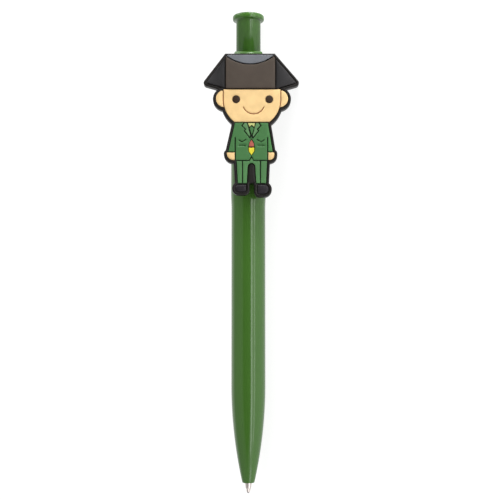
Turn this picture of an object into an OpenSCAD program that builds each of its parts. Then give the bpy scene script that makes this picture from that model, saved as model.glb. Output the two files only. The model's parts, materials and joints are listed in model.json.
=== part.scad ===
// Retractable ballpoint pen with a flat soft-plastic figure on its pocket clip.
// Every piece is drawn standing up: z runs along the pen from the nose end towards the button,
// the figure faces -y, and place() then lays the pen down as it comes to rest.

/* [Barrel] */
// Outside diameter of the straight grip
grip_d = 10.1; // [9.6:0.1:10.3]
// Outside diameter above the flare, shared by the clip collar
barrel_d = 10.4; // [10.2:0.1:11.2]
// Diameter of the flat nose end
nose_d = 3.6; // [3.2:0.1:4.2]
// Length of the curved nose
nose_l = 28.5; // [24:0.5:32]
// Length of the straight grip
grip_l = 52.5; // [45:0.5:60]
// Length of the slight flare above the grip
flare_l = 4; // [2:0.5:6]
// Length of the barrel above the flare
upper_l = 33.4; // [32:0.2:40]
// Wall of the barrel along the grip
barrel_wall = 1.1; // [0.8:0.1:1.3]
// Bore of the nose that guides the refill tip
nose_bore_d = 2.5; // [2.4:0.05:2.8]
// Length of that bore, up to the ledge that the spring stands on
nose_bore_l = 6; // [5:0.5:7]
// Bore above the ledge that the spring stands in
spring_room_d = 4.6; // [4.4:0.1:4.8]
// Bevel at moulded edges
edge = 0.2; // [0.1:0.05:0.3]

/* [Clip] */
// Height of the collar at the top of the barrel
collar_h = 8.2; // [6:0.2:10]
// Thickness of the collar's inner lip
lip_t = 1.2; // [0.8:0.1:1.6]
// Gap between the lip and the button's stem, all round
lip_gap = 0.2; // [0.15:0.05:0.3]
// Width of the clip where it leaves the collar
clip_root_w = 8.3; // [7:0.1:9]
// Height of that wide root
clip_root_h = 4; // [3:0.5:6]
// Length over which the root narrows into the arm
clip_neck_l = 3; // [2:0.5:5]
// Width of the arm
clip_w = 6; // [5:0.1:6.8]
// Thickness of the arm
clip_t = 1.6; // [1.4:0.1:2]
// Thickness of the bridge from the collar to the arm
bridge_t = 2; // [1.6:0.1:2.4]
// Rounding of the corners seen from the front
clip_round = 1; // [0.4:0.1:1.4]
// Length of the clip from the collar's top edge
clip_l = 36; // [32:0.5:37]
// Space between the barrel and the arm
clip_gap = 1.4; // [1:0.1:2]
// Space that the nub at the arm's end leaves to the barrel
nub_gap = 0.2; // [0.1:0.05:0.4]
// Length of the nub
nub_l = 4; // [3:0.5:5]

/* [Button] */
// Diameter of the button's stem
stem_d = 7.34; // [7:0.02:7.5]
// Stem in sight below the flange, pen out
stem_out = 10.95; // [8:0.05:12]
// Diameter of the flange
flange_d = 9.5; // [8.4:0.1:10.4]
// Thickness of the flange
flange_t = 1.95; // [1.3:0.05:2.2]
// Rounding of the flange's rim
flange_round = 0.6; // [0.3:0.1:0.6]
// Depth of the moulding's hollow below the flange's top
button_roof = 8; // [4:0.5:10]

/* [Click mechanism] */
// Travel of the button from latched to released
click_travel = 5; // [4:0.1:5]
// Extra travel when the latched button is pressed
over_travel = 1.2; // [0.8:0.1:1.2]
// Turn of the rotor over the travel
rotor_turn = 60; // [60:1:60]
// Outside diameter of the cam sleeve
sleeve_d = 8.8; // [8.7:0.1:9]
// How deep the sleeve sits in the barrel
sleeve_in = 20.4; // [20.4:0.2:22]
// Length of the sleeve's bore that guides the button's stem
guide_l = 11.4; // [10.6:0.1:12]
// Bore of the slots between the sleeve's ribs
slot_d = 7.9; // [7.8:0.05:8]
// Bore left between the ribs
rib_bore_d = 5.5; // [5.4:0.05:5.6]
// Number of ribs, slots, splines and fins
rib_count = 3; // [3:1:3]
// Width of a rib, as an angle
rib_angle = 40; // [30:1:44]
// Length of a rib at its middle
rib_l = 10; // [9:0.1:10.4]
// Width of a spline or fin, as an angle
fin_angle = 16; // [12:1:18]
// Length of a spline
spline_l = 3; // [2:0.1:3.2]
// Length of a fin at its middle
fin_l = 3; // [2:0.1:3.4]
// Space between a rib's ramp and the fin's sloped top
ramp_gap = 0.6; // [0.55:0.05:0.7]
// Depth of the latching notch in the ramp
notch = 0.3; // [0.2:0.05:0.35]
// Depth of the teeth round the button's crown
tooth_h = 0.7; // [0.4:0.1:1]
// Number of notches across the crown, each cutting two sides
crown_cuts = 3; // [2:1:4]
// Diameter of the rotor's core
rotor_d = 5; // [4.8:0.1:5.2]
// Length of the rotor's core
rotor_l = 7.5; // [6:0.1:8]
// Diameter of the rotor's spigot, which the button turns on
spigot_d = 3.9; // [3.6:0.1:4.1]
// Length of the spigot
spigot_l = 5.5; // [4:0.1:7]
// Depth of the socket over the refill's end
socket_l = 3.5; // [2.5:0.1:4.5]

/* [Refill] */
// How far the writing tip stands out of the nose, pen out
tip_out = 3.1; // [2.6:0.1:3.4]
// Diameter of the writing ball
ball_d = 0.7; // [0.6:0.05:0.8]
// Diameter of the metal tip at its mouth
mouth_d = 0.96; // [0.94:0.02:1]
// Length of the tip's bright cone
cone_l = 3.7; // [3.4:0.1:4]
// Length of the slim nib at the end of the cone
nib_l = 1.1; // [0.8:0.1:1.4]
// Diameter of the nib at its upper end
nib_d = 1.5; // [1.3:0.05:1.6]
// Diameter of the tip's shank
shank_d = 2.3; // [2.2:0.05:2.35]
// Length of the whole metal tip
tip_l = 19; // [16:0.5:20]
// Diameter of the ink duct through tip and holder
duct_d = 0.6; // [0.4:0.1:0.6]
// Diameter of the holder below its shoulder
holder_d = 3; // [2.9:0.05:3.1]
// How far the holder reaches down round the shank
holder_l = 14; // [12:0.5:15]
// Diameter of the shoulder that the spring pushes on
shoulder_d = 4.1; // [3.9:0.1:4.3]
// Thickness of the shoulder
shoulder_t = 1.1; // [0.8:0.1:1.5]
// Length of the plug that holds the tube
plug_l = 4; // [3:0.5:6]
// Outside diameter of the ink tube
tube_d = 3.1; // [2.9:0.05:3.2]
// Bore of the ink tube
tube_bore_d = 2.2; // [2:0.05:2.3]
// Length of the ink column
ink_l = 49; // [20:1:60]

/* [Spring] */
// Outside diameter of the spring
spring_d = 4.2; // [4.1:0.05:4.3]
// Diameter of its wire
wire_d = 0.35; // [0.3:0.05:0.4]
// Length of the spring, pen out
spring_l = 17.9; // [15:0.1:20]
// Open turns between its closed ends
open_turns = 10; // [8:1:12]
// Closed turns at each end
closed_turns = 1.5; // [1:0.5:2]

/* [Figure] */
// Height of the soles above the nose end
figure_s = 83.5; // [80:0.5:84]
// How far the figure sits beside the clip's middle
figure_x = 0.9; // [0:0.1:1.2]
// Thickness of the black backing
base_t = 3; // [2.4:0.1:4]
// Depth of the recess in its back that seats on the clip
seat = 0.8; // [0.5:0.1:1.2]
// Width of the black outline round the colours
outline_w = 0.9; // [0.5:0.05:1]
// Width of the thin black lines between colours
line_w = 0.3; // [0.2:0.02:0.34]
// Depth of the wells that the colours are poured into
well = 0.6; // [0.4:0.05:1]
// How far the colours stand above the backing
proud = 0.4; // [0.2:0.05:0.6]
// Depth of the pressed lines in the cloth colours
crease = 0.2; // [0.1:0.05:0.3]

/* [Hat] */
// Left and right ends of the hat's flat top
hat_top_x = [-7.65, 6.8];
// Height of the flat top above the soles
hat_top_y = 41.65; // [40:0.05:42]
// Width of the black rim above the lining
hat_rim = 0.6; // [0.4:0.05:0.8]
// Rounding of the hat's upper corners
hat_round = 0.8; // [0.4:0.1:1.2]
// Reach of the two brim corners before rounding
brim_x = 14.6; // [13.6:0.1:15]
// Height of the brim corners
brim_y = 32.5; // [32:0.1:33]
// Rounding of the brim corners
brim_round = 1; // [0.5:0.1:1.3]
// Bend in a brim's lower edge: how far in from its corner, and how far down
brim_bend = [4.2, 1.2];
// Half width of the hat's lower edge between the brims
hat_foot_x = 7.6; // [7.2:0.1:8.4]
// Left and right sides of the crown
crown_x = [-7.45, 6.85];
// Height of the crown's lower edge
crown_y = 31.3; // [30.9:0.1:31.6]
// How far crown and lining stand above the brims
crown_step = 0.3; // [0:0.05:0.6]
// Width of the lining that shows at the top
lining_w = 13.9; // [12:0.1:14]
// How far the lining sags
lining_sag = 2.5; // [1.5:0.1:3]

/* [Head] */
// Shift of face and ears to the side
head_shift = 0.15; // [0:0.05:0.4]
// Radius of the cheeks and jaw
jaw_r = 8.25; // [8:0.05:8.4]
// Height of the jaw's centre
jaw_y = 28; // [27.6:0.1:28.2]
// Height of the flat chin
chin_y = 21.5; // [21.4:0.1:22]
// Radius of an ear
ear_r = 2.5; // [2.3:0.05:2.8]
// Middle of an ear beside the face's middle
ear_x = 7.95; // [7.6:0.05:8.2]
// Height of the ears' middle
ear_y = 28.3; // [27.6:0.1:29]
// Height at which the hat cuts the ears off
ear_top_y = 30.6; // [30:0.1:31]
// Width of the brown lines between face and ears
ear_line_w = 0.24; // [0.2:0.02:0.34]
// Diameter of an eye
eye_d = 2.2; // [1.6:0.05:2.6]
// Height of the eyes
eye_y = 28.1; // [27.5:0.1:29]
// Distance between the eyes
eye_span = 9.6; // [8:0.1:10.4]
// Shift of the eyes to the side
eye_shift = 0.35; // [0:0.05:0.6]
// Radius of the smile
smile_r = 3.2; // [2.5:0.01:3.6]
// Lowest point of the smile
smile_y = 23.82; // [23.4:0.01:24.4]
// Shift of the smile to the side
smile_shift = 0.6; // [0:0.05:0.8]
// Half the angle that the smile spans
smile_half = 69; // [50:1:75]
// Width of the smile's line
smile_w = 0.22; // [0.2:0.02:0.4]

/* [Clothes] */
// Height of the jacket's upper edge
jacket_top_y = 21.2; // [21.1:0.05:21.25]
// Height of the jacket's hem
hem_y = 10.35; // [10:0.05:10.8]
// Half width of the shoulders
shoulder_x = 4.75; // [4.7:0.05:5]
// Half width of the jacket between the arms
torso_x = 4.55; // [4.3:0.05:4.6]
// Half width of the notch at the front of the hem
vent_x = 0.75; // [0.5:0.05:1]
// Height of that notch
vent_h = 1.2; // [0.8:0.1:1.6]
// Left and right outer corners of the cuffs
cuff_x = [-6.65, 6.1];
// Height of the cuffs
cuff_y = 12.85; // [12.4:0.05:13.4]
// Height where arm and jacket part
arm_pit_y = 17; // [16:0.1:18]
// Outer sides of the two hands
hand_x = [-7.1, 6.6];
// Height of the hands' lower edge
hand_y = 10.4; // [10:0.1:10.8]
// Rounding of a hand's outer lower corner
hand_round = 1.8; // [0.6:0.1:1.8]
// Rounding of a hand's small corners
knuckle = 0.2; // [0.1:0.05:0.3]
// Left and right side of the trousers at the hem
trouser_x = [-4.3, 4.5];
// Left and right side of the trousers at the ankles
ankle_x = [-3.9, 4.2];
// Height of the ankles
ankle_y = 3.65; // [3.65:0.05:4]
// Half width of the gap between the legs, at its top
leg_gap = 1.1; // [0.9:0.05:1.3]
// How much further each side of the gap lies at the ankles
leg_flare = 0.28; // [0.1:0.02:0.4]
// Height of the gap's round top
crotch_y = 9.5; // [9:0.1:9.6]
// Height down to which the black backing joins the legs
web_y = 3.75; // [3.4:0.05:6]
// Place of a trouser crease beside the middle
crease_x = 2.6; // [2.4:0.05:2.8]

/* [Hidden] */
$fn = 48;

// Overshoot of a cut past the face that it goes through
cut = 0.5;
// Depth that a rib, fin or bridge is drawn into what it grows out of
merge = 0.3;
// Clearances: pieces pressed or glued together, pieces that slide or turn, trapped pieces, and at a stop
press_gap = 0.02;
run_gap = 0.08;
loose_gap = 0.05;
stop_gap = 0.2;

barrel_green = [0.27, 0.45, 0.2];
cloth_green = [0.28, 0.53, 0.32];
lapel_green = [0.4, 0.6, 0.42];
skin = [0.97, 0.83, 0.6];
steel = [0.72, 0.72, 0.7];
natural_plastic = [0.9, 0.9, 0.87];

grip_r = grip_d / 2;
barrel_r = barrel_d / 2;
sleeve_r = sleeve_d / 2;
stem_r = stem_d / 2;
flare_s = nose_l + grip_l;
barrel_l = flare_s + flare_l + upper_l;
top_s = barrel_l + collar_h;
sleeve_s = barrel_l - sleeve_in;
grip_mid = nose_l + grip_l / 2;
nose_steps = 24;
nose_step = nose_l / nose_steps;

// Stack of the mechanism, from the ledge that ends the button's travel downwards
ledge_s = top_s - lip_t - guide_l;
spline_top_s = ledge_s - click_travel - stop_gap;
crown_s = spline_top_s - spline_l;
stem_end_s = ledge_s + over_travel + stop_gap;
ramp_s = ledge_s - rib_l;
fin_top_s = ramp_s - ramp_gap;
fin_r = slot_d / 2 - run_gap;
rotor_s = fin_top_s + loose_gap - rotor_l;
ramp_slope = click_travel / (rotor_turn * PI / 180) / ((slot_d + rib_bore_d) / 4);
flange_s = top_s + stem_out;

// Stack of the refill
tube_top_s = rotor_s + socket_l - loose_gap;
shoulder_s = nose_bore_l + spring_l;
tube_s = shoulder_s + shoulder_t;

// Depths measured from the pen's axis towards the figure's face
clip_back = barrel_r + clip_gap;
clip_front = clip_back + clip_t;
clip_end_s = top_s - clip_l;
base_back = clip_front - seat;
base_front = base_back + base_t;

// The pen rolls until its barrel and one brim corner carry it
brim_reach = figure_x + max([for (p = hat_points()) p.x]);
brim_rho = norm([brim_reach, base_back]);
roll = atan2(base_back, brim_reach) + asin(barrel_r / brim_rho);

// From the standing pen to the pen at rest, with the grip's middle at the origin
module place() {
    rotate([roll - 90, 0, 0]) rotate([0, 90, 0]) translate([0, 0, -grip_mid]) children();
}

// One corner of an outline, rounded with radius r by an arc that touches both of its sides
function corner(before, p, after, r, n) =
    let (
        d0 = (before - p) / norm(before - p),
        d1 = (after - p) / norm(after - p),
        half = acos(d0 * d1) / 2,
        c = p + (d0 + d1) / norm(d0 + d1) * r / sin(half),
        from = p + d0 * r / tan(half) - c,
        to = p + d1 * r / tan(half) - c,
        a0 = atan2(from.y, from.x),
        turn = atan2(to.y, to.x) - a0,
        sweep = turn > 180 ? turn - 360 : turn < -180 ? turn + 360 : turn
    )
    [for (i = [0:n]) c + r * [cos(a0 + sweep * i / n), sin(a0 + sweep * i / n)]];

// An outline with its corners rounded, by one radius or by one for each corner, where 0 keeps it sharp
function rounded(pts, r, n = 4) =
    [for (i = [0:len(pts) - 1])
        let (
            ri = is_list(r) ? r[i] : r,
            before = pts[(i + len(pts) - 1) % len(pts)],
            after = pts[(i + 1) % len(pts)]
        )
        each ri > 0 ? corner(before, pts[i], after, ri, n) : [pts[i]]];

function arc(c, r, a0, a1, n = 12) =
    [for (i = [0:n]) c + r * [cos(a0 + (a1 - a0) * i / n), sin(a0 + (a1 - a0) * i / n)]];

// Outline of a line of width w drawn along points
function stroke(pts, w) =
    let (
        last = len(pts) - 1,
        side = [for (i = [0:last])
            let (t = pts[min(i + 1, last)] - pts[max(i - 1, 0)]) [-t.y, t.x] / norm(t) * w / 2]
    )
    concat([for (i = [0:last]) pts[i] + side[i]], [for (i = [last:-1:0]) pts[i] - side[i]]);

function mirrored(pts) = [for (i = [len(pts) - 1:-1:0]) [-pts[i].x, pts[i].y]];

// Radius of the nose's outside at height s, a parabola that runs into the grip
function nose_r(s) = nose_d / 2 + (grip_r - nose_d / 2) * (1 - pow(1 - s / nose_l, 2));

module sector(angle, r) {
    polygon([[0, 0], 2 * r * [cos(angle / 2), -sin(angle / 2)], 2 * r * [cos(angle / 2), sin(angle / 2)]]);
}

// A piece of ring centred on +x, angle wide
module ring_piece(r_in, r_out, angle, h) {
    intersection() {
        difference() {
            cylinder(r = r_out, h = h);
            translate([0, 0, -cut]) cylinder(r = r_in, h = h + 2 * cut);
        }
        translate([0, 0, -cut]) linear_extrude(h + 2 * cut) sector(angle, r_out);
    }
}

// A prism along +x, from an outline drawn across it in y and z
module along_x(l) {
    rotate([90, 0, 90]) linear_extrude(l) children();
}

module barrel_outline() {
    nose_points = [for (i = [1:nose_steps]) [nose_r(i * nose_step), i * nose_step]];
    room_r = spring_room_d / 2;
    inner = [
        for (i = [nose_steps:-1:1])
            let (s = i * nose_step)
            if (s > nose_bore_l + nose_step && nose_r(s) - barrel_wall > room_r) [nose_r(s) - barrel_wall, s]
    ];
    polygon(concat(
        [[nose_bore_d / 2, 0], [nose_d / 2 - edge / 2, 0], [nose_r(edge / 2), edge / 2]],
        nose_points,
        [
            [grip_r, flare_s],
            [barrel_r, flare_s + flare_l],
            [barrel_r, barrel_l - edge / 2],
            [barrel_r - edge / 2, barrel_l],
            [sleeve_r, barrel_l],
            [sleeve_r, sleeve_s],
            [barrel_r - barrel_wall, sleeve_s],
            [barrel_r - barrel_wall, flare_s + flare_l],
            [grip_r - barrel_wall, flare_s]
        ],
        inner,
        [
            [room_r, inner[len(inner) - 1].y - nose_step],
            [room_r, nose_bore_l],
            [nose_bore_d / 2, nose_bore_l]
        ]
    ));
}

module barrel() {
    color(barrel_green) place() rotate_extrude($fn = 96) barrel_outline();
}

// The clip seen from the front: a wide root that narrows into the arm
module clip_front_view() {
    root = clip_root_w / 2;
    arm = clip_w / 2;
    neck_s = top_s - clip_root_h;
    arm_s = neck_s - clip_neck_l;
    end_r = arm - edge / 2;
    polygon(rounded([
        [root, top_s], [-root, top_s], [-root, neck_s], [-arm, arm_s],
        [-arm, clip_end_s], [arm, clip_end_s], [arm, arm_s], [root, neck_s]
    ], [clip_round, clip_round, clip_round, clip_round, end_r, end_r, clip_round, clip_round], 6));
}

// The clip seen from the side: a bridge off the collar, the arm, and the nub that grips the cloth
module clip_side_view() {
    bridge_s = top_s - bridge_t;
    nub = barrel_r + nub_gap;
    crest_s = clip_end_s + nub_l / 2;
    polygon(rounded([
        [sleeve_r + merge, top_s - edge / 2], [clip_front, top_s - edge / 2], [clip_front, clip_end_s],
        [clip_back + 2 * edge, clip_end_s], [nub, crest_s - edge], [nub, crest_s + edge],
        [clip_back, crest_s + nub_l * 0.8], [clip_back, bridge_s], [sleeve_r + merge, bridge_s]
    ], [0, 0.7, 0.5, 0.5, 0.3, 0.3, 1.5, 0.8, 0], 4));
}

module clip() {
    color(barrel_green) place() difference() {
        union() {
            rotate_extrude($fn = 96) polygon([
                [stem_r, barrel_l], [barrel_r - edge / 2, barrel_l], [barrel_r, barrel_l + edge / 2],
                [barrel_r, top_s - 2 * edge], [barrel_r - edge, top_s - edge / 2],
                [barrel_r - 2 * edge, top_s], [stem_r, top_s]
            ]);
            intersection() {
                rotate([90, 0, -90]) linear_extrude(2 * barrel_d, center = true) clip_side_view();
                rotate([90, 0, 0]) linear_extrude(2 * barrel_d) clip_front_view();
            }
        }
        translate([0, 0, barrel_l - cut]) cylinder(r = sleeve_r, h = collar_h - lip_t + cut);
        cylinder(r = stem_r + lip_gap, h = top_s + cut);
    }
}

// Ribs with ramped ends guide the fins; the notch in each ramp is where a fin latches
module cam_rib() {
    mid_r = (slot_d + rib_bore_d) / 4;
    notch_y = -mid_r * sin(fin_angle / 2 + 1);
    reach = slot_d;
    difference() {
        translate([0, 0, ramp_s - rib_l / 2])
            ring_piece(rib_bore_d / 2, slot_d / 2 + press_gap, rib_angle, rib_l * 1.5);
        translate([0, 0, ramp_s]) along_x(reach) polygon([
            [-reach, -reach * ramp_slope - notch], [notch_y, notch_y * ramp_slope - notch],
            [notch_y, notch_y * ramp_slope], [reach, reach * ramp_slope],
            [reach, -3 * reach], [-reach, -3 * reach]
        ]);
    }
}

module cam_sleeve() {
    color(natural_plastic) place() {
        difference() {
            translate([0, 0, sleeve_s + press_gap])
                cylinder(r = sleeve_r - press_gap, h = top_s - lip_t - sleeve_s - 2 * press_gap);
            translate([0, 0, ledge_s - cut]) cylinder(r = stem_r + run_gap, h = top_s - ledge_s);
            translate([0, 0, sleeve_s - cut]) cylinder(r = slot_d / 2, h = ledge_s - sleeve_s + cut);
        }
        for (i = [0:rib_count - 1]) rotate(i * 360 / rib_count) cam_rib();
    }
}

// Rounded flange, stem, slimmer guide with splines, and a toothed crown round a blind bore
module push_button() {
    neck_r = rib_bore_d / 2 - run_gap;
    top = flange_s + flange_t;
    rim = flange_d / 2 - flange_round;
    color(barrel_green) place() difference() {
        union() {
            rotate_extrude($fn = 96) polygon(concat(
                [[0, crown_s], [neck_r, crown_s], [neck_r, stem_end_s], [stem_r, stem_end_s]],
                [[stem_r, flange_s - edge], [stem_r + edge, flange_s]],
                arc([rim, flange_s + flange_round], flange_round, -90, 0, 5),
                arc([rim, top - flange_round - edge], flange_round, 0, 90, 5),
                [[flange_d / 4, top - edge * 0.3], [0, top]]
            ));
            for (i = [0:rib_count - 1]) rotate((i + 0.5) * 360 / rib_count) translate([0, 0, crown_s])
                ring_piece(neck_r - merge, fin_r, fin_angle, spline_l);
        }
        translate([0, 0, crown_s - cut])
            cylinder(d = spigot_d + 2 * run_gap, h = top - button_roof - crown_s + cut);
        for (i = [0:crown_cuts - 1]) rotate((i + 0.5) * 180 / crown_cuts) translate([-slot_d, 0, crown_s])
            along_x(2 * slot_d) polygon([[-tooth_h, -cut], [tooth_h, -cut], [0, tooth_h]]);
    }
}

// Core with sloped fins, a spigot for the button above and a socket for the refill below
module cam_rotor() {
    reach = slot_d;
    color(natural_plastic) place() {
        difference() {
            union() {
                translate([0, 0, rotor_s]) cylinder(d = rotor_d, h = rotor_l);
                translate([0, 0, rotor_s]) cylinder(d = spigot_d, h = rotor_l + spigot_l);
                for (i = [0:rib_count - 1]) rotate(i * 360 / rib_count) difference() {
                    translate([0, 0, fin_top_s - fin_l])
                        ring_piece(rotor_d / 2 - merge, fin_r, fin_angle, fin_l * 1.5);
                    translate([0, 0, fin_top_s]) along_x(reach)
                        polygon(reach * [[-1, -ramp_slope], [1, ramp_slope], [-1, ramp_slope]]);
                }
            }
            translate([0, 0, rotor_s - cut]) cylinder(d = tube_d + 2 * run_gap, h = socket_l + cut);
        }
    }
}

module refill_tube() {
    color(natural_plastic) place() translate([0, 0, tube_s]) difference() {
        cylinder(d = tube_d, h = tube_top_s - tube_s);
        translate([0, 0, -cut]) cylinder(d = tube_bore_d, h = tube_top_s - tube_s + 2 * cut);
    }
}

module refill_ink() {
    color([0.08, 0.2, 0.6]) place() translate([0, 0, tube_s + plug_l + press_gap])
        cylinder(d = tube_bore_d - 2 * press_gap, h = ink_l);
}

// Moulded holder: socket for the metal tip, shoulder for the spring, plug for the tube
module tip_holder() {
    holder_s = shoulder_s - holder_l;
    plug_r = tube_bore_d / 2 - press_gap;
    color([0.92, 0.92, 0.9]) place() difference() {
        rotate_extrude() polygon([
            [0, holder_s], [holder_d / 2 - edge, holder_s], [holder_d / 2, holder_s + 2 * edge],
            [holder_d / 2, shoulder_s], [shoulder_d / 2, shoulder_s], [shoulder_d / 2, tube_s - press_gap],
            [plug_r, tube_s - press_gap], [plug_r, tube_s + plug_l], [0, tube_s + plug_l]
        ]);
        translate([0, 0, -tip_out]) cylinder(d = shank_d + 2 * press_gap, h = tip_l + press_gap);
        cylinder(d = duct_d, h = tube_s + plug_l + cut);
    }
}

module refill_tip() {
    mouth_s = -tip_out + ball_d * 0.4;
    color(steel) place() difference() {
        rotate_extrude() polygon([
            [0, mouth_s], [mouth_d / 2, mouth_s], [nib_d / 2, mouth_s + nib_l],
            [nib_d / 2 + edge / 4, mouth_s + nib_l + edge / 4],
            [shank_d / 2, -tip_out + cone_l], [shank_d / 2, tip_l - tip_out - edge],
            [shank_d / 2 - edge, tip_l - tip_out], [0, tip_l - tip_out]
        ]);
        translate([0, 0, -tip_out + ball_d / 2]) sphere(d = ball_d + press_gap);
        translate([0, 0, -tip_out + ball_d / 2]) cylinder(d = duct_d * 0.6, h = tip_l);
    }
}

module writing_ball() {
    color([0.5, 0.5, 0.52]) place() translate([0, 0, -tip_out + ball_d / 2]) sphere(d = ball_d);
}

// Compression spring: height grows by a wire's width a turn at its closed ends and faster between
module return_spring() {
    mean_r = (spring_d - wire_d) / 2;
    closed_pitch = wire_d + press_gap;
    closed_h = closed_pitch * closed_turns;
    turns = open_turns + 2 * closed_turns;
    open_h = spring_l - wire_d - 2 * press_gap - 2 * closed_h;
    rings = ceil(turns * 14);
    sides = 8;
    function height(t) =
        t < closed_turns ? t * closed_pitch
        : t > turns - closed_turns ? closed_h + open_h + (t - turns + closed_turns) * closed_pitch
        : closed_h + (t - closed_turns) * open_h / open_turns;
    function ring_point(t, k) =
        let (
            a = 360 * t,
            out = [cos(a), sin(a), 0],
            rise = (height(min(t + 0.05, turns)) - height(max(t - 0.05, 0))) / 0.1 / (2 * PI * mean_r),
            up = [sin(a) * rise, -cos(a) * rise, 1] / sqrt(1 + rise * rise),
            q = 360 * k / sides
        )
        mean_r * out + [0, 0, height(t)] + wire_d / 2 * (cos(q) * out + sin(q) * up);
    pts = [for (i = [0:rings]) for (k = [0:sides - 1]) ring_point(turns * i / rings, k)];
    faces = concat(
        [[for (k = [sides - 1:-1:0]) k]],
        [[for (k = [0:sides - 1]) rings * sides + k]],
        [for (i = [0:rings - 1]) for (k = [0:sides - 1])
            let (a = i * sides + k, b = i * sides + (k + 1) % sides)
            for (f = [[a, b, b + sides], [a, b + sides, a + sides]]) f]
    );
    color(steel) place() translate([0, 0, nose_bore_l + wire_d / 2 + press_gap]) polyhedron(pts, faces);
}

// The figure's outlines are drawn with x to its right side as seen and y up from the soles

// A point moved up by lift along the line that comes from foot
function raised(p, foot, lift) = p + (p - foot) * lift / (p.y - foot.y);

// The hat's outline, with its slanted sides drawn on upwards by lift
function hat_points(lift = 0) =
    let (left = [-brim_x, brim_y], right = [brim_x, brim_y])
    rounded([
        raised([hat_top_x[0], hat_top_y], left, lift), left, left + [brim_bend.x, -brim_bend.y],
        [-hat_foot_x, crown_y - outline_w], [hat_foot_x, crown_y - outline_w],
        right - brim_bend, right, raised([hat_top_x[1], hat_top_y], right, lift)
    ], [hat_round, brim_round, 0, 0, 0, 0, brim_round, hat_round], 6);

// Where the hat's colours may lie: inside the outline, and inside the narrower rim at the top
module hat_inside() {
    offset(r = -outline_w, $fn = 32) polygon(hat_points(outline_w - hat_rim));
}

// The round edge of the lining, grown by extra
module lining_circle(extra) {
    r = (pow(lining_w / 2, 2) + pow(lining_sag, 2)) / (2 * lining_sag);
    translate([(hat_top_x[0] + hat_top_x[1]) / 2, hat_top_y - hat_rim - lining_sag + r])
        circle(r = r + extra, $fn = 120);
}

module lining_shape() {
    intersection() {
        hat_inside();
        lining_circle(0);
    }
}

module crown_shape() {
    difference() {
        intersection() {
            hat_inside();
            translate([crown_x[0], 0]) square([crown_x[1] - crown_x[0], hat_top_y]);
        }
        lining_circle(line_w);
    }
}

module brim_shape() {
    difference() {
        hat_inside();
        translate([crown_x[0] - line_w, 0]) square([crown_x[1] - crown_x[0] + 2 * line_w, hat_top_y + cut]);
        lining_circle(line_w);
    }
}

// Cheeks and jaw are one arc between the straight temples and the flat chin, grown by extra
module face_shape(extra = 0) {
    r = jaw_r + extra;
    chin = asin((chin_y - extra - jaw_y) / r);
    translate([head_shift, 0])
        polygon(concat([[-r, crown_y - line_w + extra]], arc([0, jaw_y], r, -180, -180 - chin, 16),
            arc([0, jaw_y], r, chin, 0, 16), [[r, crown_y - line_w + extra]]));
}

// Both ears with the part of them that the face covers, cut off by the hat
module ear_discs() {
    intersection() {
        for (side = [-1, 1]) translate([head_shift + side * ear_x, ear_y]) circle(r = ear_r, $fn = 64);
        translate([-brim_x, 0]) square([2 * brim_x, ear_top_y]);
    }
}

module ears_shape() {
    difference() {
        ear_discs();
        face_shape(ear_line_w);
    }
}

module ear_lines_shape() {
    difference() {
        intersection() {
            ear_discs();
            face_shape(ear_line_w - press_gap);
        }
        face_shape(press_gap);
    }
}

module eyes_shape() {
    for (side = [-1, 1]) translate([eye_shift + side * eye_span / 2, eye_y]) circle(d = eye_d, $fn = 48);
}

module smile_shape() {
    centre = [smile_shift, smile_y + smile_r];
    polygon(stroke(arc(centre, smile_r, -90 - smile_half, -90 + smile_half, 20), smile_w));
}

// Lapels with their step, the shirt's two points, and the tie between them
lapel = [
    [-1.28, 21.1], [-2.02, 21.1], [-2.55, 20.38], [-1.52, 19.35], [-1.85, 18.85], [-0.5, 17.1], [-0.38, 17.6]
];
shirt_points = [[-1, 21.1], [-0.62, 20.05], [0.06, 20.6], [0.78, 20.05], [1.03, 21.1]];
tie_points = [[-0.56, 19.65], [0.06, 20.18], [0.68, 19.65], [0.1, 17.6]];
// Two-colour drop on the chest: its top, its widest stretch and its point, half its width, and its line
badge_y = [16.3, 14, 11.8];
badge_half = 0.78;
badge_line = 0.08;

module lapels_shape() {
    polygon(lapel);
    polygon(mirrored(lapel));
}

module shirt_shape() {
    polygon(shirt_points);
}

module tie_shape() {
    polygon(tie_points);
}

module badge_top_shape() {
    polygon(rounded([
        [0, badge_y[0]], [-badge_half * 0.8, badge_y[1] + 1.2], [-badge_half, badge_y[1]],
        [badge_half, badge_y[1]], [badge_half * 0.8, badge_y[1] + 1.2]
    ], [0, 0.6, 0, 0, 0.6]));
}

module badge_tip_shape() {
    polygon(rounded([
        [0, badge_y[2]], [badge_half, badge_y[1] - 1.1], [badge_half, badge_y[1] - badge_line],
        [-badge_half, badge_y[1] - badge_line], [-badge_half, badge_y[1] - 1.1]
    ], [0, 0.5, 0, 0, 0.5]));
}

module badge_shape() {
    badge_top_shape();
    badge_tip_shape();
    translate([-badge_half, badge_y[1] - badge_line - press_gap])
        square([2 * badge_half, badge_line + 2 * press_gap]);
}

// Pocket flaps: a shallow V, and the pocket's lower edge below it
flap = [[-3.75, 16.25], [-2.8, 15.65], [-1.55, 16.35]];
pocket_edge = [[-3.65, 14.56], [-1.7, 14.56]];

module flaps_shape() {
    polygon(stroke(flap, line_w * 0.8));
    polygon(stroke(mirrored(flap), line_w * 0.8));
}

module pockets_shape() {
    polygon(stroke(pocket_edge, line_w));
    polygon(stroke(mirrored(pocket_edge), line_w));
}

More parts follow.
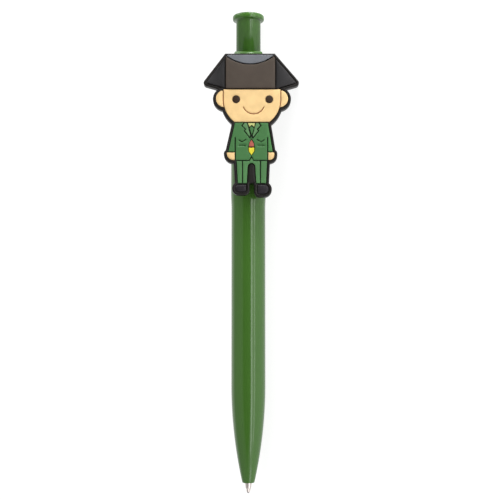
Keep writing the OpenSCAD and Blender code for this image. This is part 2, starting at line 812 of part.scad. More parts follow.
module jacket_outline() {
    slit = torso_x + line_w;
    polygon([
        [-shoulder_x, jacket_top_y], [cuff_x[0], cuff_y], [-slit, cuff_y], [-slit, arm_pit_y],
        [-torso_x, arm_pit_y], [-torso_x, hem_y], [-vent_x, hem_y], [0, hem_y + vent_h], [vent_x, hem_y],
        [torso_x, hem_y], [torso_x, arm_pit_y], [slit, arm_pit_y], [slit, cuff_y], [cuff_x[1], cuff_y],
        [shoulder_x, jacket_top_y]
    ]);
}

module jacket_shape() {
    difference() {
        jacket_outline();
        offset(delta = line_w) {
            lapels_shape();
            shirt_shape();
            tie_shape();
        }
        offset(delta = line_w / 2) badge_shape();
        flaps_shape();
    }
}

// One hand: straight at the cuff and the jacket, round at its outer lower corner
module hand_shape(x) {
    inner = sign(x) * (torso_x + line_w);
    outer_r = min(hand_round, abs(x - inner) - 2 * knuckle);
    polygon(rounded([
        [inner, cuff_y - line_w], [x, cuff_y - line_w], [x, hand_y], [inner, hand_y]
    ], [0, knuckle, outer_r, knuckle], 6));
}

module hands_shape() {
    hand_shape(hand_x[0]);
    hand_shape(hand_x[1]);
}

// Both legs in one piece below the jacket's hem, with a crease down each
module trousers_shape() {
    foot_x = leg_gap + leg_flare;
    difference() {
        polygon(concat(
            [[-foot_x, ankle_y], [ankle_x[0], ankle_y], [trouser_x[0], hem_y], [-vent_x, hem_y]],
            [[0, hem_y + vent_h], [vent_x, hem_y], [trouser_x[1], hem_y], [ankle_x[1], ankle_y]],
            [[foot_x, ankle_y]],
            arc([0, crotch_y - leg_gap], leg_gap, 0, 180, 10)
        ));
        offset(delta = line_w) jacket_outline();
        for (side = [-1, 1]) translate([side * crease_x - line_w / 2, ankle_y - cut])
            square([line_w, hem_y - ankle_y + 2 * cut]);
    }
}

// Left and right shoe: lower left and upper right corner, and the rounding of each corner from lower left on
shoe_boxes = [[[-4.7, 1.15], [-1.45, 3.25]], [[1.7, 0.55], [5, 3.25]]];
shoe_rounds = [[1, 0.6, 0.4, 1], [0.6, 1.3, 1.3, 0.4]];

module shoes_shape() {
    for (i = [0:1]) let (box = shoe_boxes[i])
        polygon(rounded([box[0], [box[1].x, box[0].y], box[1], [box[0].x, box[1].y]], shoe_rounds[i], 6));
}

// The stretch between the legs that the backing closes
module leg_web_shape() {
    translate([-leg_gap - merge, web_y + outline_w])
        square([2 * (leg_gap + merge), crotch_y + merge - web_y - outline_w]);
}

// The backing's outline: everything that carries a colour, grown by the outline's width, under a flat top
module base_shape() {
    intersection() {
        offset(r = outline_w, $fn = 32) {
            hat_inside();
            face_shape();
            ear_discs();
            jacket_outline();
            hands_shape();
            trousers_shape();
            leg_web_shape();
            shoes_shape();
        }
        translate([-brim_x, -outline_w]) square([2 * brim_x, hat_top_y + outline_w]);
    }
}

// All the colours as seen from the front
module colours_shape() {
    lining_shape();
    crown_shape();
    brim_shape();
    face_shape();
    ears_shape();
    ear_lines_shape();
    jacket_shape();
    lapels_shape();
    shirt_shape();
    tie_shape();
    badge_shape();
    hands_shape();
    trousers_shape();
    shoes_shape();
}

// A layer of the figure, from depth w, t thick
module layer(w, t) {
    translate([figure_x, 0, figure_s]) rotate([90, 0, 0]) translate([0, 0, w]) linear_extrude(t) children();
}

// One poured colour, filling its well and standing proud of the backing by extra more than the others
module pour(extra = 0) {
    place() layer(base_front - well, well + proud + extra) children();
}

module figure_base() {
    color([0.1, 0.09, 0.09]) place() difference() {
        layer(base_back, base_t) base_shape();
        layer(base_front - well, well + cut) offset(delta = press_gap) colours_shape();
        rotate([90, 0, 0]) translate([0, 0, base_back - cut])
            linear_extrude(seat + cut) offset(delta = press_gap) clip_front_view();
    }
}

module hat_lining() {
    color([0.5, 0.51, 0.56]) pour(crown_step) lining_shape();
}

module hat_crown() {
    color([0.35, 0.31, 0.28]) pour(crown_step) crown_shape();
}

module hat_brim() {
    color([0.24, 0.23, 0.25]) pour() brim_shape();
}

module face() {
    color(skin) pour() difference() {
        face_shape();
        eyes_shape();
        smile_shape();
    }
}

module ears() {
    color(skin) pour() ears_shape();
}

module ear_lines() {
    color([0.66, 0.42, 0.22]) pour(-crease / 2) ear_lines_shape();
}

module eyes() {
    color([0.2, 0.13, 0.11]) pour(0.1) eyes_shape();
}

module smile() {
    color([0.45, 0.28, 0.16]) pour(-crease / 2) smile_shape();
}

module jacket() {
    color(cloth_green) difference() {
        pour() jacket_shape();
        place() layer(base_front + proud - crease, crease + cut) pockets_shape();
    }
}

module lapels() {
    color(lapel_green) pour() lapels_shape();
}

module shirt() {
    color([0.86, 0.88, 0.6]) pour() shirt_shape();
}

module neck_tie() {
    color(cloth_green) pour() tie_shape();
}

module badge_top() {
    color([0.8, 0.35, 0.35]) pour() badge_top_shape();
}

module badge_tip() {
    color([0.95, 0.93, 0.25]) pour() badge_tip_shape();
}

module hands() {
    color(skin) pour() hands_shape();
}

module trousers() {
    color(cloth_green) pour() trousers_shape();
}

module shoes() {
    color([0.19, 0.16, 0.19]) pour() shoes_shape();
}

barrel();
clip();
cam_sleeve();
push_button();
cam_rotor();
refill_tube();
refill_ink();
tip_holder();
refill_tip();
writing_ball();
return_spring();
figure_base();
hat_lining();
hat_crown();
hat_brim();
face();
ears();
ear_lines();
eyes();
smile();
jacket();
lapels();
shirt();
neck_tie();
badge_top();
badge_tip();
hands();
trousers();
shoes();
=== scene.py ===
import json
import math

import bmesh
import bpy
import numpy as np
from mathutils import Matrix, Vector
from mathutils.bvhtree import BVHTree
from mathutils.geometry import delaunay_2d_cdt

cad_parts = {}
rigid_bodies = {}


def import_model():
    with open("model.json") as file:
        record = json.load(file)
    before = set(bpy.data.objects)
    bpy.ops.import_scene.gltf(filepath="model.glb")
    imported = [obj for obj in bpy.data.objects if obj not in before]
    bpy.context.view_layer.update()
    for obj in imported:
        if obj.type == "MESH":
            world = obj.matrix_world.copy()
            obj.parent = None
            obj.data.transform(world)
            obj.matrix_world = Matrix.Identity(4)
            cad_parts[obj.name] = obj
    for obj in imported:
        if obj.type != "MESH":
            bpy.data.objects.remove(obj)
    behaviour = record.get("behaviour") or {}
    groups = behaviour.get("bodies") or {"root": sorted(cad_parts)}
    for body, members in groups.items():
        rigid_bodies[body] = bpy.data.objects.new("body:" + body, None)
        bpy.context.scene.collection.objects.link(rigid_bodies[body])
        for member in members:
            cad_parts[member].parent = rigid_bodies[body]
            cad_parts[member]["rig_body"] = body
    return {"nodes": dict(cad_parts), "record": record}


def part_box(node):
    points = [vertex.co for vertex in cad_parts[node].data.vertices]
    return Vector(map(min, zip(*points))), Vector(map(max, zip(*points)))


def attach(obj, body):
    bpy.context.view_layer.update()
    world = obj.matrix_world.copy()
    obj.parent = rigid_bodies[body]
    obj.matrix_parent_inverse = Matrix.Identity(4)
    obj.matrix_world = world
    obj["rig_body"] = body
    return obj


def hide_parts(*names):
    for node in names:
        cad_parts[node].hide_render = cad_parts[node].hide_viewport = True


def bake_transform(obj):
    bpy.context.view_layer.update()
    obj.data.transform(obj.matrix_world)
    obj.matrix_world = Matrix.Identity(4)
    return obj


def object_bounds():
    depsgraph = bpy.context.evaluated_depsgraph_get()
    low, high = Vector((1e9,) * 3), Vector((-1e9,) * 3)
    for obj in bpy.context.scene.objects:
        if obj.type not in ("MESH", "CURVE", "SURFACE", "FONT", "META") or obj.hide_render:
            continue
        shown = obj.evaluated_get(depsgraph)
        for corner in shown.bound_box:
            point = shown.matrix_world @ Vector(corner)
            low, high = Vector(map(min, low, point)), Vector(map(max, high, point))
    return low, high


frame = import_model()
cad_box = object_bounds()
nodes = frame["nodes"]
slot_of = {part["node"]: part["material_slot"] for part in frame["record"]["subparts"]}

MM = 0.001
WHITE = (1, 1, 1, 1)


def front_of(node):
    """The direction that a flat node's largest face looks in, on the side away from the ground."""
    normal = max(nodes[node].data.polygons, key=lambda p: p.area).normal
    return (normal if normal.z > 0 else -normal).normalized()


# The pen's own directions: from the tip to the button, out of the figure's front,
# and to the right of the figure as the camera sees it
ALONG = Vector((1, 0, 0))
OUT = front_of("face")
RIGHT = ALONG.cross(OUT)


def round_pen(degrees):
    """The direction so many degrees round the pen, from the figure's front towards the right."""
    angle = math.radians(degrees)
    return OUT * math.cos(angle) + RIGHT * math.sin(angle)


def axes(x, y, z, origin):
    """The matrix of an object with these axes and this place."""
    return Matrix.Translation(origin) @ Matrix((x, y, z)).transposed().to_4x4()


def in_scene(name, data):
    """An object of a mesh, a lamp or a camera, put in the scene."""
    thing = bpy.data.objects.new(name, data)
    bpy.context.scene.collection.objects.link(thing)
    return thing


# Camera

VIEW_MIDDLE = ALONG * 13.69 * MM + RIGHT * 0.48 * MM
VIEW_DISTANCE = 298 * MM
VIEW_RISE = math.radians(3.4)  # how far the camera looks up along the pen
LENS = 72
SENSOR = 36
CLIP_START = 10 * MM


def place_camera():
    """The camera looks at the figure's front, with the pen's button up."""
    forward = ALONG * math.sin(VIEW_RISE) - OUT * math.cos(VIEW_RISE)
    upright = ALONG * math.cos(VIEW_RISE) + OUT * math.sin(VIEW_RISE)
    data = bpy.data.cameras.new("camera")
    data.lens = LENS
    data.sensor_width = SENSOR
    data.clip_start = CLIP_START
    camera = in_scene("camera", data)
    place = VIEW_MIDDLE - forward * VIEW_DISTANCE
    camera.matrix_world = axes(forward.cross(upright), upright, -forward, place)
    bpy.context.scene.camera = camera


# Finishes

class Value:
    """A socket of a node tree. Operators on it add Math nodes."""

    def __init__(self, board, socket):
        self.board = board
        self.socket = socket

    def math(self, operation, *others):
        return self.board.math(operation, self, *others)

    def __add__(self, other):
        return self.math("ADD", other)

    def __sub__(self, other):
        return self.math("SUBTRACT", other)

    def __rsub__(self, other):
        return self.board.math("SUBTRACT", other, self)

    def __mul__(self, other):
        return self.math("MULTIPLY", other)

    __radd__ = __add__
    __rmul__ = __mul__

    def between(self, low, high, to_low=0.0, to_high=1.0):
        """Runs smoothly from to_low to to_high while the value goes from low to high."""
        return self.board.add(
            "ShaderNodeMapRange", self, low, high, to_low, to_high, interpolation_type="SMOOTHSTEP"
        )


# The Mix node's sockets between its factor and its two colours, and its colour output
MIX_BETWEEN = (None,) * 5
MIX_COLOUR = 2


class Board:
    """A node tree and what adds nodes to it."""

    def __init__(self, tree):
        self.tree = tree

    def add(self, kind, *values, output=0, **named):
        """A node of any kind: sockets in order or by capitalised name, settings by their small names."""
        node = self.tree.nodes.new(kind)
        sockets = dict(enumerate(values))
        for name, value in named.items():
            if name.islower():
                setattr(node, name, value)
            else:
                sockets[name.replace("_", " ")] = value
        for key, value in sockets.items():
            self.set(node.inputs[key], value)
        return Value(self, node.outputs[output])

    def set(self, socket, value):
        """Links a value or sets a constant. None leaves the socket as it is."""
        if isinstance(value, Value):
            self.tree.links.new(value.socket, socket)
        elif value is not None:
            socket.default_value = value

    def math(self, operation, *values):
        return self.add("ShaderNodeMath", *values, operation=operation)

    def dot(self, vector, direction):
        """How far a vector reaches along a direction."""
        return self.add(
            "ShaderNodeVectorMath", vector, tuple(direction), operation="DOT_PRODUCT", output="Value"
        )

    def blend(self, amount, first, second):
        """From the first colour to the second by an amount."""
        sockets = (amount, *MIX_BETWEEN, first, second)
        return self.add("ShaderNodeMix", *sockets, data_type="RGBA", output=MIX_COLOUR)


NOISE_RANGE = (0.3, 0.7)  # where nearly all of a noise's values lie


class Finish(Board):
    """A material on Object coordinates in millimetres, with its shader's plain settings given by name."""

    def __init__(self, name, **settings):
        self.material = bpy.data.materials.new(name)
        self.material.use_nodes = True
        super().__init__(self.material.node_tree)
        self.shader = self.tree.nodes["Principled BSDF"]
        self.feed(**settings)
        place = self.add("ShaderNodeTexCoord", output="Object")
        self.place = self.add("ShaderNodeVectorMath", place, operation="SCALE", Scale=1 / MM)

    def feed(self, **sockets):
        """Sets or links the shader's sockets and gives the material."""
        for name, value in sockets.items():
            self.set(self.shader.inputs[name.replace("_", " ")], value)
        return self.material

    def stretched(self, along=1, across=1):
        """The place on the pen, scaled along and across it, for a pattern that runs one way."""
        scales = (along, across, across)
        return self.add("ShaderNodeVectorMath", self.place, scales, operation="MULTIPLY")

    def noise(self, size, detail, place=None):
        """Noise whose features are about size millimetres, spread over 0 to 1."""
        raw = self.add("ShaderNodeTexNoise", Vector=place or self.place, Scale=1 / size, Detail=detail)
        return raw.between(*NOISE_RANGE)

    def tinted(self, colour, low, high, amount):
        """A colour that an amount carries from a darker to a lighter shade of itself."""
        dark, light = ([channel * level for channel in colour] + [1] for level in (low, high))
        return self.blend(amount, dark, light)

    def relief(self, height, depth):
        """A bump whose height of 1 stands depth millimetres high."""
        return self.add("ShaderNodeBump", Distance=depth * MM, Height=height)

    def reach(self, direction):
        """How far a point lies from the origin along a direction, either way, in millimetres."""
        return self.dot(self.place, direction).math("ABSOLUTE")


def gloss_moulding(name, colour):
    """Polished hard plastic: faint flow shades, hair marks along the pen, a skin that is never quite flat."""
    finish = Finish(name, IOR=1.5)
    flow = finish.noise(size=7, detail=2, place=finish.stretched(along=0.15))
    hairs = finish.noise(size=0.4, detail=2, place=finish.stretched(along=0.02))
    return finish.feed(
        Base_Color=finish.tinted(colour, 0.97, 1.03, flow),
        Roughness=0.11 + 0.04 * hairs,
        Normal=finish.relief(flow, depth=0.002),
    )


def soft_pour(name, colour, rough=0.55, shades=(0.94, 1.06), lighter=None):
    """Soft plastic poured in a mould: satin, slightly cloudy, with the mould's fine grain.

    Where lighter is given, the colour grows lighter along its direction, between its two distances; on the
    hat's brim and the sleeves that is painted shade and light.
    """
    finish = Finish(name, IOR=1.48, Specular_IOR_Level=0.3)
    cloud = finish.noise(size=3, detail=3)
    grain = finish.noise(size=0.15, detail=2)
    amount = cloud
    if lighter:
        direction, start, end = lighter
        amount = 0.1 * cloud + finish.reach(direction).between(start, end)
    return finish.feed(
        Base_Color=finish.tinted(colour, *shades, amount),
        Roughness=rough - 0.04 + 0.08 * cloud,
        Normal=finish.relief(grain, depth=0.004),
    )


def turned_metal(name, colour, rough, pitch):
    """Metal with the fine rings that turning leaves, about pitch millimetres apart."""
    finish = Finish(name, Metallic=1.0)
    rings = finish.noise(size=pitch, detail=1, place=finish.stretched(across=0.02))
    film = finish.noise(size=1.5, detail=2)
    return finish.feed(
        Base_Color=finish.tinted(colour, 0.92, 1.04, film),
        Roughness=rough - 0.05 + 0.1 * rings,
        Normal=finish.relief(rings, depth=0.002),
    )


def ink(name, colour):
    """A dense column of ink, streaked along its tube."""
    finish = Finish(name, IOR=1.4)
    streaks = finish.noise(size=1, detail=2, place=finish.stretched(along=0.1))
    return finish.feed(
        Base_Color=finish.tinted(colour, 0.85, 1.15, streaks),
        Roughness=0.12 + 0.08 * streaks,
    )


# Where the dark line at the foot of the badge's red starts to fade and where it ends,
# in millimetres along the pen
BADGE_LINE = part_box("badge_top")[0].x / MM + 0.2
BADGE_CLEAR = BADGE_LINE + 0.3

finishes = {
    "pen_green": gloss_moulding("pen_green_gloss", (0.052, 0.142, 0.021)),
    "natural_plastic": soft_pour("natural_moulding", (0.78, 0.78, 0.74), rough=0.35),
    "blue_ink": ink("blue_ink_column", (0.01, 0.03, 0.3)),
    "tip_metal": turned_metal("tip_nickel", (0.66, 0.6, 0.57), rough=0.14, pitch=0.1),
    "ball_metal": turned_metal("ball_ground", (0.12, 0.11, 0.12), rough=0.18, pitch=0.05),
    "spring_steel": turned_metal("spring_wire", (0.55, 0.55, 0.55), rough=0.3, pitch=0.2),
    "backing_black": soft_pour("pour_black", (0.009, 0.007, 0.006), rough=0.45),
    "lining_grey": soft_pour("pour_lining", (0.137, 0.146, 0.163)),
    "crown_brown": soft_pour("pour_crown", (0.061, 0.046, 0.035)),
    # Painted shade: the brim is darker beside the crown, where the raised crown shades it, and painted
    # lighter towards its outer corners
    "brim_slate": soft_pour(
        "pour_slate_painted_shade", (0.018, 0.017, 0.018), rough=0.54, shades=(0.65, 1.5), lighter=(RIGHT, 7, 12.5)
    ),
    "skin": soft_pour("pour_skin", (0.785, 0.545, 0.255)),
    "eye_brown": soft_pour("pour_eye", (0.035, 0.018, 0.009), rough=0.4),
    "smile_brown": soft_pour("pour_smile", (0.26, 0.09, 0.03)),
    # Painted light: the uniform's green grows lighter outwards on the sleeves, the right one most, as the
    # light from the right falls on them
    "cloth_green": soft_pour(
        "pour_green", (0.052, 0.165, 0.05), shades=(0.97, 1.3), lighter=(RIGHT, 5, 6.6)
    ),
    "lapel_green": soft_pour("pour_lapel", (0.097, 0.22, 0.088)),
    "shirt_cream": soft_pour("pour_cream", (0.5, 0.54, 0.2)),
    "badge_red": soft_pour(
        "pour_red", (0.4, 0.1, 0.07), shades=(0.12, 1.0), lighter=(ALONG, BADGE_LINE, BADGE_CLEAR)
    ),
    "badge_yellow": soft_pour("pour_yellow", (0.7, 0.61, 0.038)),
    "shoe_dark": soft_pour("pour_shoe", (0.015, 0.012, 0.016), rough=0.45),
}

# Pieces in a slightly different shade of their slot's finish
own_shades = {"trousers": soft_pour("pour_green_light", (0.072, 0.195, 0.068))}


# Common steps of every piece

SMOOTH_BELOW = math.radians(40)
SAME_LEVEL = 0.002 * MM       # how far a flat face's corners may lie off its level
SAME_POINT = SAME_LEVEL / 10  # how far apart the points lie that become one


def merged(node):
    """A CAD node's mesh with its loose triangles joined."""
    bm = bmesh.new()
    bm.from_mesh(nodes[node].data)
    bmesh.ops.remove_doubles(bm, verts=bm.verts, dist=SAME_POINT)
    bmesh.ops.dissolve_degenerate(bm, dist=SAME_POINT, edges=bm.edges)
    return bm


def shape_mesh(mesh, bm):
    """Gives the mesh its shape, smooth but for its sharp edges."""
    bm.to_mesh(mesh)
    bm.free()
    mesh.shade_smooth()
    mesh.set_sharp_from_angle(angle=SMOOTH_BELOW)


def finish_piece(bm, name, node):
    """The piece in its node's finish, riding where its node rides."""
    mesh = bpy.data.meshes.new(name)
    shape_mesh(mesh, bm)
    mesh.materials.append(own_shades.get(node, finishes[slot_of[node]]))
    piece = in_scene(name, mesh)
    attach(piece, nodes[node]["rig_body"])
    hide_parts(node)


# Poured soft pieces: the flat front becomes a rounded, slightly swelling one. Lengths are in millimetres

EDGE_STEP = 0.22             # between points along a rim
GRID_STEP = 0.45             # between points on a front
ROW_STEP = GRID_STEP * 0.87  # between their rows, for nearly even-sided triangles
NEAR = 0.02                  # between points that count as one
RIM_RINGS = 4                # rows of points on a rim's curve
STRAIGHT = 0.998   # cosine of half the turn above which two sides run on without a corner
SHARPEST = 0.2     # the same for the sharpest corner that a rim's points follow all the way
OWN_SIDE = 0.995   # a rim's point stays where no other side is nearer than this share of its depth
EDGE_CLEAR = 0.03  # share of the rim that stays free of points beside the outline
SHORTEST = 1e-6    # of the sum of two directions
EXACTNESS = 1e-5   # of the triangles' corners


def flat_place(vector):
    """Across and along the figure."""
    return np.array((vector.dot(RIGHT), vector.dot(ALONG))) / MM


def as_key(point):
    return tuple(np.round(point, 4))


class Outline:
    """Straight sides round a flat face, each with the face on its left, and the distances from them."""

    def __init__(self, starts, ends, inward):
        self.starts, self.ends, self.inward = starts, ends, inward
        count = len(starts)
        corners = [(x, y, z) for z in (-1, 1) for x, y in [*starts, *ends]]
        strips = [(i, i + count, i + 3 * count, i + 2 * count) for i in range(count)]
        self.tree = BVHTree.FromPolygons(corners, strips)

    def distance(self, points):
        """How far each point lies from the nearest side."""
        return np.array([self.tree.find_nearest((x, y, 0))[3] for x, y in points])

    def rings(self, rim):
        """Rows of points inside the outline, closer together where the rim curves down.

        A corner gets more points than a straight side.
        """
        turns = [math.radians(90) * k / RIM_RINGS for k in range(1, RIM_RINGS + 1)]
        depths = [rim * (1 - math.cos(turn)) for turn in turns]
        side_from = {as_key(start): i for i, start in enumerate(self.starts)}
        found = []
        for i, (start, end) in enumerate(zip(self.starts, self.ends)):
            here = self.inward[i]
            after = self.inward[side_from.get(as_key(end), i)]
            both = (here + after) / max(np.linalg.norm(here + after), SHORTEST)
            ways = [both]
            if both @ after < STRAIGHT:
                ways += [both / max(both @ after, SHARPEST), here, after]
            for depth in depths:
                places = [(start + end) / 2 + here * depth] + [end + way * depth for way in ways]
                found += [(*place, depth) for place in places]
        found = np.array(found)
        return found[self.distance(found[:, :2]) > found[:, 2] * OWN_SIDE, :2]

    def grid(self, clear):
        """Points in a triangular pattern, at least clear from the outline."""
        low, high = self.starts.min(0), self.starts.max(0)
        columns = np.arange(low[0], high[0], GRID_STEP)
        rows = np.arange(low[1], high[1], ROW_STEP)
        points = np.array([(x + (j % 2) * GRID_STEP / 2, y) for j, y in enumerate(rows) for x in columns])
        return points[self.distance(points) > clear]


def inside_of(triangles, border):
    """The triangles inside the border, whose directed sides have the inside on their left."""
    owner = {side: t for t, (a, b, c) in enumerate(triangles) for side in ((a, b), (b, c), (c, a))}
    found = {owner[side] for side in border if side in owner}
    waiting = list(found)
    while waiting:
        a, b, c = triangles[waiting.pop()]
        for side in ((b, a), (c, b), (a, c)):
            beside = owner.get(side)
            crossing = side in border or side[::-1] in border
            if beside is not None and beside not in found and not crossing:
                found.add(beside)
                waiting.append(beside)
    return [triangles[t] for t in found]


def open_face(bm, facing):
    """Takes the flat face off one side, and gives its level and the edges round the hole, cut short."""
    level = max(v.co.dot(facing) for v in bm.verts)
    face = [f for f in bm.faces if all(abs(v.co.dot(facing) - level) < SAME_LEVEL for v in f.verts)]
    bmesh.ops.delete(bm, geom=face, context="FACES")
    by_cuts = {}
    for edge in bm.edges:
        if len(edge.link_faces) == 1:
            by_cuts.setdefault(int(edge.calc_length() / MM / EDGE_STEP), []).append(edge)
    for cuts, edges in by_cuts.items():
        if cuts:
            bmesh.ops.subdivide_edges(bm, edges=edges, cuts=cuts)
    bm.normal_update()
    return level, [e for e in bm.edges if len(e.link_faces) == 1]


def sides_round(border, corners, flat, outward):
    """The border's edges as pairs of corner numbers, each turned so that the face lies on its left."""
    index = {v: i for i, v in enumerate(corners)}
    sides = []
    for edge, out in zip(border, outward):
        first, last = (index[v] for v in edge.verts)
        x, y = flat[last] - flat[first]
        sides.append((first, last) if x * out[1] < y * out[0] else (last, first))
    return sides


def directed(lines, old_sides, points, sides, flat):
    """The new lines that lie on old sides, each turned the way its old side runs."""
    found = set()
    for (a, b), olds in zip(lines, old_sides):
        if olds:
            start, end = sides[olds[0]]
            ahead = (points[b] - points[a]).dot(Vector(flat[end] - flat[start])) > 0
            found.add((a, b) if ahead else (b, a))
    return found


def reshape_face(bm, facing, rim, swell=0.0, spread=1.0):
    """Rounds the outer edge of the flat face on one side and lets the face swell towards its middle."""
    level, border = open_face(bm, facing)
    corners = list(dict.fromkeys(v for e in border for v in e.verts))
    flat = np.array([flat_place(v.co) for v in corners])
    walls = [e.link_faces[0] for e in border]
    outward = np.array([flat_place(w.normal * MM) for w in walls])  # 1 mm long, which is 1 here
    sides = sides_round(border, corners, flat, outward)
    starts, ends = (flat[list(which)] for which in zip(*sides))
    tall = np.array([level - min(v.co.dot(facing) for v in w.verts) > 2 * rim * MM for w in walls])
    whole = Outline(starts, ends, -outward)
    outer = Outline(starts[tall], ends[tall], -outward[tall])

    inner = np.vstack([outer.rings(rim), whole.grid(rim + GRID_STEP / 2).reshape(-1, 2)])
    inner = inner[whole.distance(inner) > rim * EDGE_CLEAR]
    inner = inner[np.unique(np.round(inner / NEAR), axis=0, return_index=True)[1]]
    points, lines, triangles, old_points, old_sides, _ = delaunay_2d_cdt(
        [Vector(p) for p in [*flat, *inner]], sides, [], 0, EXACTNESS
    )

    # A quarter circle down to the outer edge, and a swell that fades towards it
    far = outer.distance(points)
    near = np.clip(rim - far, 0, rim)
    rises = np.sqrt(rim ** 2 - near ** 2) - rim - swell * np.exp(-far / spread)
    verts = []
    for point, rise, olds in zip(points, rises, old_points):
        vert = next((corners[i] for i in olds if i < len(corners)), None) or bm.verts.new()
        vert.co = RIGHT * point.x * MM + ALONG * point.y * MM + facing * (level + rise * MM)
        verts.append(vert)
    for triangle in inside_of(triangles, directed(lines, old_sides, points, sides, flat)):
        new = bm.faces.new([verts[i] for i in triangle])
        new.normal_update()
        if new.normal.dot(facing) < 0:
            new.normal_flip()
    bmesh.ops.delete(bm, geom=[v for v in verts if not v.link_faces], context="VERTS")


def backing():
    """The black backing, rounded at its outer edge in front and behind."""
    bm = merged("figure_base")
    reshape_face(bm, OUT, rim=0.34)
    reshape_face(bm, -OUT, rim=0.2)
    finish_piece(bm, "backing_pour", "figure_base")


def pour(node, rim, swell=0.0, spread=1.0):
    """One colour of the figure, with its front reshaped."""
    bm = merged(node)
    reshape_face(bm, OUT, rim, swell, spread)
    finish_piece(bm, node + "_pour", node)


# Rim, swell and spread of each colour
POURS = {
    "hat_lining": (0.12,), "hat_crown": (0.2, 0.05, 1.0), "hat_brim": (0.16, 0.1, 1.0),
    "face": (0.2, 0.1, 1.2), "ears": (0.16, 0.06, 0.6), "ear_lines": (0.06,),
    "eyes": (0.14, 0.05, 0.4), "smile": (0.06,),
    "jacket": (0.12, 0.04, 0.5), "lapels": (0.12,), "shirt": (0.08,), "neck_tie": (0.08,),
    "badge_top": (0.1,), "badge_tip": (0.1,), "hands": (0.2, 0.08, 0.5), "trousers": (0.12, 0.04, 0.5),
    "shoes": (0.4, 0.15, 0.7),
}


# Hard pieces. Profiles are in millimetres: distances along the pen from the nose's end, and radii

def kept_form(node, name):
    """A piece in its node's own form, with its mesh joined for clean shading."""
    finish_piece(merged(node), name, node)


HARD = {
    "clip": "clip_moulding", "cam_sleeve": "cam_sleeve_moulding", "push_button": "button_moulding",
    "cam_rotor": "rotor_moulding", "refill_tube": "ink_tube", "refill_ink": "ink_column",
    "tip_holder": "holder_moulding",
}

NOSE_END = -54.75  # along the pen from its origin


def turned(profile, sides):
    """A solid of revolution round the pen, from a closed profile."""
    bm = bmesh.new()
    rings = []
    for along, radius in profile:
        angles = [math.tau * i / sides for i in range(sides if radius > 0 else 1)]
        places = [Vector((NOSE_END + along, radius * math.cos(a), radius * math.sin(a))) for a in angles]
        rings.append([bm.verts.new(place * MM) for place in places])
    for ring, after in zip(rings, rings[1:] + rings[:1]):
        for i in range(sides):
            j = (i + 1) % sides
            corners = [ring[i % len(ring)], ring[j % len(ring)], after[j % len(after)], after[i % len(after)]]
            corners = list(dict.fromkeys(corners))
            if len(corners) > 2:
                bm.faces.new(corners)
    bmesh.ops.recalc_face_normals(bm, faces=bm.faces)
    return bm


def eased(start, end, steps):
    """Points from start to end along a curve that leaves and arrives level."""
    (x, low), (end_x, high) = start, end
    shares = [k / steps for k in range(1, steps + 1)]
    return [(x + (end_x - x) * t, low + (high - low) * t * t * (3 - 2 * t)) for t in shares]


def barrel_shell():
    """The barrel with its nose curve, its slow flare, small rounded ends and its stepped bore."""
    # Outer radii, inner radii and the wall, then the distances along the pen at which something changes
    mouth, grip, top = 1.8, 5.05, 5.2
    hole, spring_room, seat, wall = 1.25, 2.3, 4.4, 1.1
    ledge, nose, flare, flared, seat_start, length = 6, 28.5, 81.0, 85.0, 98, 118.4
    steps, chamfer = 48, 0.6

    def nose_radius(along):
        return mouth + (grip - mouth) * (1 - (1 - along / nose) ** 2)

    curve = [(s, nose_radius(s)) for s in (nose * k / steps for k in range(1, steps + 1))]
    lip = [(0, 1.66), (0.02, 1.74), (0.08, mouth)]
    widening = eased((flare, grip), (flared, top), steps=8)
    top_edge = [(length - 0.1, top), (length - 0.03, top - 0.03), (length, top - 0.1)]
    outside = [(0, hole), *lip, *curve, (flare, grip), *widening, *top_edge]
    bore = [(length, seat), (seat_start, seat), (seat_start, top - wall)]
    bore += [(flared, top - wall), (flare, grip - wall)]
    bore += [(s, radius - wall) for s, radius in reversed(curve) if radius - wall > spring_room]
    bore += [(bore[-1][0] - chamfer, spring_room), (ledge, spring_room), (ledge, hole)]
    finish_piece(turned(outside + bore, sides=128), "barrel_shell", "barrel")


def tip_turning():
    """The refill's metal tip: a fine nib round the ball, a long cone and the shank."""
    mouth, back = -2.82, 15.9
    nib = [(mouth, 0), (mouth, 0.4), (mouth + 0.04, 0.47), (mouth + 1.1, 0.75)]
    cone = [(mouth + 1.13, 0.79), (mouth + 1.2, 0.82), (0.45, 1.11)]
    shank = [(0.6, 1.145), (0.75, 1.15), (back - 0.1, 1.15), (back, 1.05), (back, 0)]
    finish_piece(turned(nib + cone + shank, sides=64), "tip_turning", "refill_tip")


def ball():
    """The writing ball, its front standing out of the tip."""
    middle, radius, steps = -2.75, 0.35, 24
    angles = [math.pi * k / steps for k in range(1, steps)]
    arc = [(middle - radius * math.cos(a), radius * math.sin(a)) for a in angles]
    profile = [(middle - radius, 0), *arc, (middle + radius, 0)]
    finish_piece(turned(profile, sides=48), "ball", "writing_ball")


COIL_POINTS = 520  # along the whole wire
WIRE_SIDES = 12


